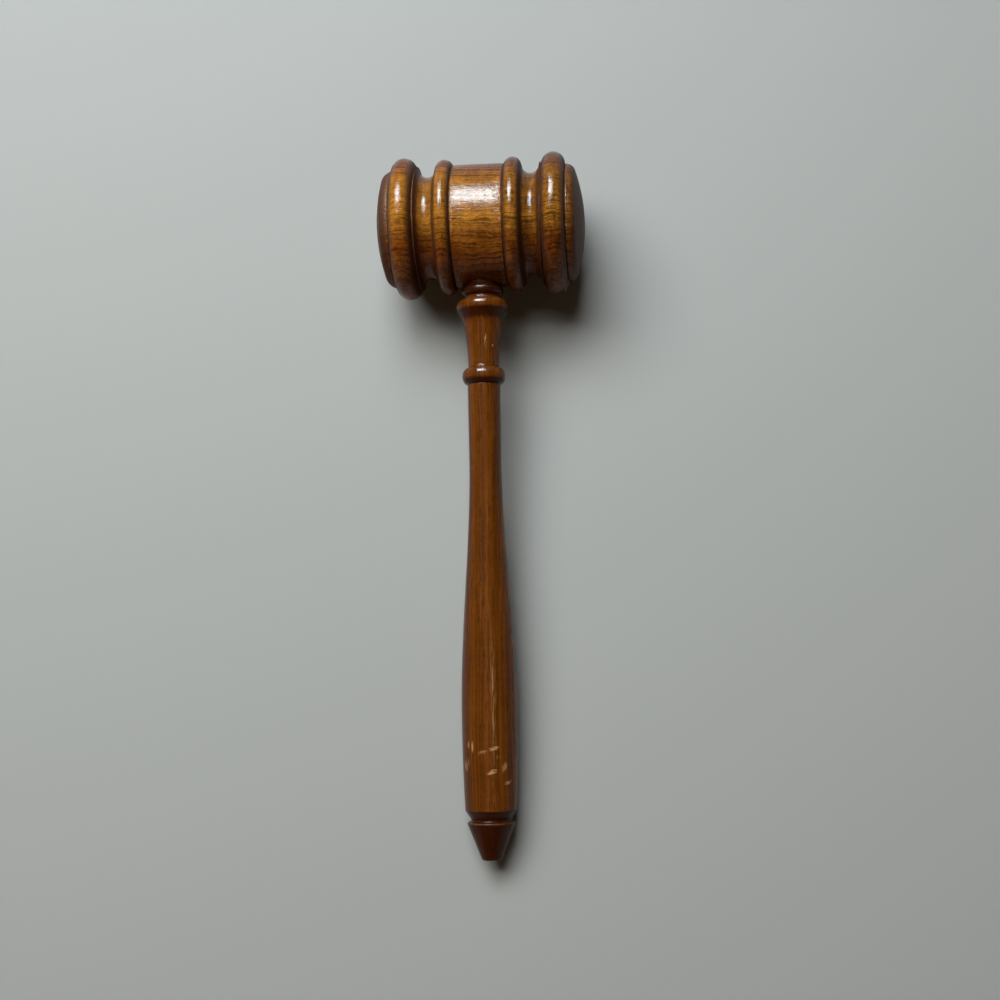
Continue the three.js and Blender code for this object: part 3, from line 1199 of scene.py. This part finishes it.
@dataclass
class Head:
    """Head of the gavel: one turned piece, bored for the handle. Lengths are in millimetres."""

    place: Place
    joint: Joint
    radius: float = 27.0
    small_bead_drop: float = 1.2
    barrel_drop: float = 3.4
    cove_drop: float = 7.6
    arris_drop: float = 3.4
    disc_drop: float = 4.7
    barrel_half_length: float = 9.55
    barrel_roll_length: float = 3.2
    barrel_roll_drop: float = 0.16
    crease_length: float = 0.4
    small_bead_length: float = 6.2
    cove_inner_length: float = 3.7
    cove_outer_length: float = 3.55
    step_length: float = 0.7
    large_bead_length: float = 8.8
    disc_edge_length: float = 0.7
    disc_edge_rise: float = 0.6
    rim_length: float = 2.9
    rim_fall: float = 1.96
    rim_start_angle: float = 72.0
    rim_end_angle: float = 25.0
    dome_height: float = 3.3
    segments: int = 168
    bore_segments: int = 96

    @property
    def barrel(self) -> float:
        """Radius of the barrel."""
        return self.radius - self.barrel_drop

    def outline(self) -> Outline:
        """Gives the outline of the head.

        Returns:
            The outline, from one end face to the other.
        """
        arris = self.radius - self.arris_drop
        floor = self.radius - self.cove_drop
        disc = self.radius - self.disc_drop
        small_round = self.small_bead_length / 2
        small_foot = self.radius - self.small_bead_drop - small_round
        large_round = self.large_bead_length / 2
        small_bead = self.barrel_half_length + self.crease_length
        cove = small_bead + self.small_bead_length + self.cove_inner_length
        large_bead = cove + self.cove_outer_length + self.step_length
        crown = large_bead + self.large_bead_length + self.disc_edge_length

        roll = self.barrel_half_length - self.barrel_roll_length
        half = Outline()
        half.curve(roll, self.barrel_half_length, lambda t: self.barrel - self.barrel_roll_drop * t * t)
        half.bead(small_bead, self.small_bead_length, small_foot, small_round)
        half.arc((cove, small_foot), self.cove_inner_length, small_foot - floor, -180, -90)
        half.arc((cove, arris), self.cove_outer_length, arris - floor, -90, 0)
        half.bead(large_bead, self.large_bead_length, self.radius - large_round, large_round)
        half.arc((crown, disc - self.disc_edge_rise), self.disc_edge_length, self.disc_edge_rise, 180, 90)
        self._rim(half)
        half.dome(self.dome_height)
        return half.mirrored()

    def _rim(self, half: Outline) -> None:
        """Adds the rounded rim of a disc, which falls away from its crown at once.

        Args:
            half: Outline that ends at the crown of the disc.
        """
        crown, disc = half.end
        start, stop = math.radians(self.rim_start_angle), math.radians(self.rim_end_angle)
        length = self.rim_length / (math.cos(stop) - math.cos(start))
        depth = self.rim_fall / (math.sin(start) - math.sin(stop))
        centre = (crown - length * math.cos(start), disc - depth * math.sin(start))
        half.arc(centre, length, depth, self.rim_start_angle, self.rim_end_angle)

    def build(
        self, lathe: Lathe, sanding: Sanding, handle: Place, finish: bpy.types.Material
    ) -> bpy.types.Object:
        """Turns the head and bores it.

        Args:
            lathe: Turns the piece.
            sanding: Softens its outline.
            handle: Where the handle lies.
            finish: Material of the head.

        Returns:
            The head.
        """
        blank = lathe.turn("head_blank", sanding.profile(self.outline()), self.place, self.segments, finish)
        bore = self.joint.bore_outline(self.barrel, self.radius)
        tool = lathe.turn("head_bore", sanding.profile(bore), handle, self.bore_segments, finish)
        cut = blank.modifiers.new("Bore", "BOOLEAN")
        cut.operation = "DIFFERENCE"
        cut.solver = "EXACT"
        cut.object = tool
        head = finished("head_turned", blank)
        bpy.data.objects.remove(tool)
        return head


@dataclass
class Handle:
    """Handle of the gavel: one turned piece, from its hidden tenon to its tip. Lengths are in millimetres."""

    place: Place
    joint: Joint
    barrel: float
    shoulder_bead_length: float = 3.7
    shoulder_bead_rise: float = 1.1
    groove_length: float = 1.25
    groove_depth: float = 0.3
    fillet_length: float = 0.35
    fillet_rise: float = 1.1
    collar_half_length: float = 2.85
    collar_rise: float = 2.3
    collar_end_angle: float = 36.0
    bevel_length: float = 2.82
    bevel_sag: float = 0.4
    neck_length: float = 18.3
    neck_radius: float = 5.9
    neck_flare: float = 1.9
    flare_power: float = 2.2
    ring_length: float = 6.3
    ring_rise: float = 2.3
    shaft_step_length: float = 0.25
    shaft_rise: float = 0.35
    waist_length: float = 28.95
    waist_radius: float = 6.1
    swell_length: float = 94.0
    belly_rise: float = 4.3
    grip_length: float = 35.6
    butt_drop: float = 0.8
    edge_length: float = 0.7
    edge_drop: float = 0.3
    chamfer_length: float = 2.9
    tip_groove_length: float = 0.5
    tip_groove_depth: float = 1.55
    tip_edge_length: float = 0.6
    tip_edge_drop: float = 0.85
    tip_band_length: float = 0.7
    tip_band_drop: float = 0.1
    tip_radius: float = 8.85
    cone_length: float = 12.1
    tip_end_radius: float = 3.1
    tip_round: float = 0.8
    segments: int = 128

    def outline(self) -> Outline:
        """Gives the outline of the handle.

        Returns:
            The outline, measured from the axis of the head.
        """
        outline = self.joint.tenon_outline(self.barrel)
        groove = self.joint.shoulder_radius - self.groove_depth
        bead_rise = self.shoulder_bead_rise + self.groove_depth
        outline.bead(outline.end[0], self.shoulder_bead_length, groove, bead_rise)
        self._neck(outline)
        self._grip(outline)
        self._tip(outline)
        return outline

    def _neck(self, outline: Outline) -> None:
        """Adds the collar, the neck and the ring bead.

        Args:
            outline: Outline that ends at the foot of the shoulder bead.
        """
        start, groove = outline.end
        fillet = start + self.groove_length
        foot = groove + self.fillet_rise
        collar = fillet + self.fillet_length + self.collar_half_length
        outline.to(fillet, groove).to(fillet, foot)
        outline.arc((collar, foot), self.collar_half_length, self.collar_rise, 180, self.collar_end_angle)
        edge, brow = outline.end
        neck = edge + self.bevel_length
        ring = neck + self.neck_length
        throat = self.neck_radius + self.neck_flare
        outline.curve(edge, neck, lambda t: brow + (throat - brow) * t - self.bevel_sag * t * (1 - t))
        outline.curve(neck, ring, lambda t: self.neck_radius + self.neck_flare * (1 - t) ** self.flare_power)
        outline.bead(ring, self.ring_length, self.neck_radius, self.ring_rise)

    def _grip(self, outline: Outline) -> None:
        """Adds the shaft and the grip.

        Args:
            outline: Outline that ends at the foot of the ring bead.
        """
        start, foot = outline.end
        shaft = start + self.shaft_step_length
        waist = shaft + self.waist_length
        belly = waist + self.swell_length
        butt = belly + self.grip_length
        belly_radius = self.waist_radius + self.belly_rise
        outline.to(shaft, foot + self.shaft_rise)
        outline.curve(waist, belly, lambda t: self.waist_radius + self.belly_rise * t * t * (3 - 2 * t))
        outline.curve(belly, butt, lambda t: belly_radius - self.butt_drop * t * t)
        outline.to(butt + self.edge_length, belly_radius - self.butt_drop - self.edge_drop)
        outline.to(butt + self.edge_length + self.chamfer_length, self.tip_radius - self.tip_groove_depth)

    def _tip(self, outline: Outline) -> None:
        """Adds the conical tip with its flat end.

        Args:
            outline: Outline that ends at the edge of the groove over the tip.
        """
        start, groove = outline.end
        top = start + self.tip_groove_length
        band = top + self.tip_edge_length
        cone = band + self.tip_band_length
        end = cone + self.cone_length
        outline.to(top, groove).to(top, self.tip_radius - self.tip_edge_drop).to(band, self.tip_radius)
        outline.to(cone, self.tip_radius - self.tip_band_drop)
        outline.arc((end, self.tip_end_radius), self.tip_round, self.tip_round, 90, 0)
        outline.to(end + self.tip_round, 0)

    def build(self, lathe: Lathe, sanding: Sanding, finish: bpy.types.Material) -> bpy.types.Object:
        """Turns the handle.

        Args:
            lathe: Turns the piece.
            sanding: Softens its outline.
            finish: Material of the handle.

        Returns:
            The handle.
        """
        return lathe.turn("handle_turned", sanding.profile(self.outline()), self.place, self.segments, finish)


class Rays(Enum):
    """What the light of a lamp reaches: the soft shading of a surface, or the shine on it."""

    SHADE = (True, False)
    SHINE = (False, True)


@dataclass(frozen=True)
class Lamp:
    """A soft box that faces the gavel. Angles are in degrees as seen from the gavel, lengths in metres.

    North is how far its middle leans from straight up towards +Y, east how far towards +X. Each square metre
    takes the same number of watts for a unit of radiance.
    """

    WATTS_PER_RADIANCE = 4

    name: str
    north: float
    east: tuple[float, float]
    height: float
    radiance: float
    rays: Rays
    colour: Colour = paint(255, 255, 255)
    distance: float = 1.3

    def hang(self, aim: Vector) -> None:
        """Makes the lamp.

        Args:
            aim: Point that the angles are measured from.
        """
        near, far = (math.tan(math.radians(angle)) for angle in self.east)
        lean = math.radians(self.north)
        outward = Vector((0, math.sin(lean), math.cos(lean)))
        size = (self.distance * (far - near), 2 * self.distance * math.tan(math.radians(self.height / 2)))
        light = bpy.data.lights.new(self.name, "AREA")
        light.shape = "RECTANGLE"
        light.size, light.size_y = size
        light.energy = self.WATTS_PER_RADIANCE * size[0] * size[1] * self.radiance
        light.color = self.colour[:3]
        lamp = shown(self.name, light)
        middle = aim + self.distance * (outward + Vector(((near + far) / 2, 0, 0)))
        upward = Vector((0, math.cos(lean), -math.sin(lean)))
        turn = Matrix((Vector((1, 0, 0)), upward, Vector((1, 0, 0)).cross(upward))).transposed()
        lamp.matrix_world = Matrix.Translation(middle) @ turn.to_4x4()
        lamp.visible_camera = False
        lamp.visible_diffuse, lamp.visible_glossy = self.rays.value


@dataclass(frozen=True)
class Camera:
    """Camera at the photograph's viewing angle. Lengths are in millimetres and its turn is in degrees."""

    place: tuple[float, float, float] = (55.06, -106.22, 572.61)
    turn: tuple[float, float, float] = (10.7600, 5.2512, -0.6224)
    lens: float = 54.108
    sensor: float = 36.0
    nearest: float = 10.0

    def stand(self) -> None:
        """Makes the camera and gives it to the scene."""
        data = bpy.data.cameras.new("camera")
        data.lens = self.lens
        data.sensor_width = self.sensor
        data.clip_start = self.nearest * MM
        camera = shown("camera", data)
        camera.location = Vector(self.place) * MM
        camera.rotation_euler = [math.radians(angle) for angle in self.turn]
        bpy.context.scene.camera = camera


@dataclass(frozen=True)
class Studio:
    """Pale floor, soft lamps, and a room that is brightest in the north but looks like a pale backdrop.

    The far floor takes the tone of the backdrop, and no horizon shows from above. In a low view a faint one
    does, behind a darker band of floor that the lamps hardly reach. Lengths are in metres.
    """

    floor_colour: Colour = paint(166, 169, 165)
    floor_roughness: float = 0.8
    floor_half_width: float = 6.0
    backdrop: Colour = paint(158, 161, 158)
    backdrop_reach: tuple[float, float] = (0.7, 2.6)
    bright_wall: Colour = paint(96, 98, 98)
    dim_wall: Colour = paint(44, 36, 28)
    overhead: Colour = paint(26, 25, 24)
    wall_heights: tuple[float, float] = (0.12, 0.32)
    wall_turn: tuple[float, float] = (-0.25, 0.6)
    lamps: tuple[Lamp, ...] = (
        Lamp("window_shade", 26, (-42, 8), 36, 5.5, Rays.SHADE),
        Lamp("south_bounce", -58, (-40, 30), 40, 0.14, Rays.SHADE, paint(255, 200, 138)),
        Lamp("window_west", 40, (-24, -5), 26, 56, Rays.SHINE, paint(228, 245, 255)),
        Lamp("window_east", 40, (-5, 9), 26, 35, Rays.SHINE, paint(228, 245, 255)),
        Lamp("ceiling", 0, (-22, 14), 60, 0.2, Rays.SHINE),
    )

    @staticmethod
    def _seen(graph: Graph) -> Socket:
        """Tells the rays that show the backdrop, straight or mirrored, from those that light the gavel.

        Args:
            graph: The tree to add the nodes to.

        Returns:
            1 for the rays that show it and 0 for the others.
        """
        path = graph.node("ShaderNodeLightPath").outputs
        straight = graph.math("MAXIMUM", path["Is Camera Ray"], path["Is Transmission Ray"])
        return graph.math("MAXIMUM", straight, path["Is Glossy Ray"])

    def floor(self) -> bpy.types.Object:
        """Makes the floor.

        Returns:
            The floor, which isn't part of the gavel.
        """
        half = self.floor_half_width
        corners = [(-half, -half, 0), (half, -half, 0), (half, half, 0), (-half, half, 0)]
        mesh = bpy.data.meshes.new("floor")
        mesh.from_pydata(corners, [], [(0, 1, 2, 3)])
        material = bpy.data.materials.new("pale_floor")
        material.use_nodes = True
        graph = Graph(material.node_tree)
        place = graph.node("ShaderNodeTexCoord").outputs["Object"]
        far = graph.rise(graph.vector("LENGTH", place), *self.backdrop_reach)
        finish = {
            "Base Color": self.floor_colour,
            "Roughness": self.floor_roughness,
            "Emission Color": self.backdrop,
            "Emission Strength": graph.math("MULTIPLY", far, self._seen(graph)),
        }
        sockets = material.node_tree.nodes["Principled BSDF"].inputs
        for name, value in finish.items():
            graph.feed(sockets[name], value)
        mesh.materials.append(material)
        return shown("floor", mesh)

    def sky(self) -> None:
        """Gives the scene its backdrop."""
        world = bpy.data.worlds.new("studio")
        world.use_nodes = True
        world.node_tree.nodes.clear()
        graph = Graph(world.node_tree)
        look = graph.node("ShaderNodeTexCoord").outputs["Generated"]
        parts = graph.node("ShaderNodeSeparateXYZ", {"Vector": look}).outputs
        wall = graph.tint(graph.rise(parts["Y"], *self.wall_turn), self.dim_wall, self.bright_wall)
        wall = graph.tint(self._seen(graph), wall, self.backdrop)
        colour = graph.tint(graph.rise(parts["Z"], *self.wall_heights), wall, self.overhead)
        light = graph.node("ShaderNodeBackground", {"Color": colour, "Strength": 1}).outputs["Background"]
        graph.node("ShaderNodeOutputWorld", {"Surface": light})
        bpy.context.scene.world = world

    def light(self, aim: Vector) -> bpy.types.Object:
        """Sets the studio up.

        Args:
            aim: Point that the lamps face.

        Returns:
            The floor.
        """
        for lamp in self.lamps:
            lamp.hang(aim)
        self.sky()
        bpy.context.scene.view_settings.view_transform = "Standard"
        return self.floor()


HEAD_WOOD = Wood(
    name="head_lacquered_curly_wood",
    figure=Figure.CURLY,
    early_and_lit=paint(170, 112, 36),
    heart_and_shade=paint(118, 60, 15),
    late=paint(56, 25, 5),
    pore=paint(42, 19, 4),
    stain_and_shade_colour=paint(64, 29, 8),
    bare=paint(132, 84, 48),
    # Painted light: the pith and the pale band put the pale wood along the lit top of the head and the
    # darker, redder heartwood colour on its shaded north and south sides; the rings round the pith are the
    # wood's own figure.
    pith=(0.0, -140.0, 25.0),
    ring_width=1.45,
    pale_depth=142.0,
    pale_reach=(5.0, 19.0),
    gloss_roughness=0.11,
    grain_depth=2.8,
    peel=9.5,
    end_slants=(0.42, 0.97),
    soak_and_shade_middle=1.0,
    soak_and_shade_reach=(32.0, 36.0),
    end_stain_and_shade=0.9,
    end_dulling=0.5,
    drift=0.0065,
)

HANDLE_SCUFFS_AND_SHEEN = (
    ScuffAndSheen(196.6, -45, 1.5, 0.7, 0.0, 0.4),
    ScuffAndSheen(197.3, -34, 2.2, 0.6, 0.2, 0.6),
    ScuffAndSheen(199.3, -12, 0.8, 1.9, -0.25, 0.45),
    ScuffAndSheen(198.0, 13, 0.9, 2.0, -0.3, 0.75),
    ScuffAndSheen(200.9, 22, 1.1, 1.0, 0.0, 0.35),
    ScuffAndSheen(204.0, -52, 2.6, 1.6, 0.0, 0.4),
    ScuffAndSheen(206.4, 9, 0.9, 1.9, -0.3, 0.8),
    ScuffAndSheen(204.8, 36, 1.7, 1.6, -0.5, 0.5),
    ScuffAndSheen(210.3, 45, 0.8, 1.6, -0.3, 0.65),
    ScuffAndSheen(216.2, 36, 0.5, 0.5, 0.0, 0.7),
    # Painted highlight: the next two long light streaks along the top of the grip stand in for the reflection
    # of a light.
    ScuffAndSheen(181.0, 13.5, 19.0, 0.6, 0.0, 0.36),
    ScuffAndSheen(178.0, 13.0, 40.0, 1.2, 0.0, 0.14),
    # Painted highlight: a short light streak on the neck stands in for a reflection.
    ScuffAndSheen(44.1, 13.4, 5.2, 0.5, 0.0, 0.7, 6.3),
    ScuffAndSheen(47.6, 39.0, 0.6, 0.5, 0.0, 1.0, 6.1),
)

HANDLE_WOOD = Wood(
    name="handle_lacquered_straight_wood",
    figure=Figure.STRAIGHT,
    early_and_lit=paint(114, 63, 15),
    heart_and_shade=paint(86, 42, 8),
    late=paint(52, 23, 5),
    pore=paint(40, 17, 4),
    stain_and_shade_colour=paint(52, 16, 3),
    bare=paint(120, 74, 40),
    pith=(0.0, -210.0, -60.0),
    ring_width=1.2,
    pale_depth=222.0,
    pale_reach=(0.0, 16.0),
    gloss_roughness=0.16,
    grain_depth=1.6,
    peel=3.0,
    nib_height=5.0,
    # Painted shade: only the faces towards the tip darken, as under the collar, and the zones darken the
    # shoulder beside the head and the chamfer and tip at the far end; part of it is end-grain stain.
    end_slants=(0.12, 0.45),
    both_ends=False,
    end_stain_and_shade=0.88,
    soak_and_shade_middle=125.4,
    soak_and_shade_reach=(96.4, 98.4),
    ring_strength=0.6,
    fibre_contrast=1.25,
    fibre_length=70.0,
    pore_length=9.0,
    pore_spacing=0.7,
    pore_share=0.45,
    scuffs_and_sheen=HANDLE_SCUFFS_AND_SHEEN,
)


def head_place() -> Place:
    """Gives the place of the head: the middle of its box, with its axis along X."""
    low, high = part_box("head")
    return Place((low + high) / 2, Vector((1, 0, 0)), Vector((0, 1, 0)))


def handle_place(head: Place) -> Place:
    """Gives the place of the handle, whose axis crosses that of the head and runs out at the butt end.

    Args:
        head: Place of the head.

    Returns:
        The place of the handle, with its side towards +X.
    """
    axis = Vector(frame["record"]["mounts"][0]["axis"]).normalized()
    return Place(head.centre, axis, Vector((1, 0, 0)))


def fit(piece: bpy.types.Object, node: str) -> None:
    """Puts a finished piece in place of its node and reports it.

    Args:
        piece: The finished piece.
        node: The node that it replaces.
    """
    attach(piece, BODY)
    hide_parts(node)
    triangles = sum(len(face.vertices) - 2 for face in piece.data.polygons)
    log.info("%s: %d triangles in place of %s", piece.name, triangles, node)


def main() -> None:
    """Builds the gavel, the studio and the camera."""
    logging.basicConfig(level=logging.INFO, format="%(name)s: %(message)s")
    Camera().stand()
    effects = {kind: kind() for kind in (Wander, GrowthRings, Fibre, Curl, StainShadeAndWear, Lacquer, RubAndSheen)}
    lathe = Lathe()
    sanding = Sanding()
    joint = Joint()
    head_at = head_place()
    handle_at = handle_place(head_at)

    head = Head(head_at, joint)
    fit(head.build(lathe, sanding, handle_at, HEAD_WOOD.material(head_at, effects)), "head")
    handle = Handle(handle_at, joint, head.barrel)
    fit(handle.build(lathe, sanding, HANDLE_WOOD.material(handle_at, effects)), "handle")
    Studio().light(head_at.centre)


if __name__ == "__main__":
    main()
